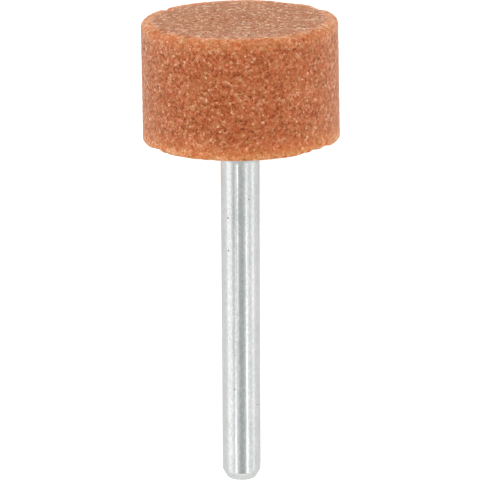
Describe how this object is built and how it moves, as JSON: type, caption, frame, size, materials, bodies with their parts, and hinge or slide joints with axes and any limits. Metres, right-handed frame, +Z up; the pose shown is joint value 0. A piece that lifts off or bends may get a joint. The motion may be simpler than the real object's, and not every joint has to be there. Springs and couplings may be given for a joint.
{
  "type": "mounted point",
  "caption": "Cylindrical mounted point: a rust-orange vitrified abrasive head cemented on a plain round steel shank, lying on its side.",
  "frame": {"origin": "centre of the footprint on the floor that the part lies on", "axes": "+Z up from the floor; +Y along the part, from the tip of the shank to the free face of the head; +X across the head"},
  "size_m": [0.016, 0.04, 0.0176],
  "materials": {
    "abrasive": "matte",
    "steel": "satin",
    "cement": "matte"
  },
  "bodies": {
    "root": {"abrasive_head": "abrasive", "shank": "steel", "cement": "cement"}
  },
  "joints": []
}
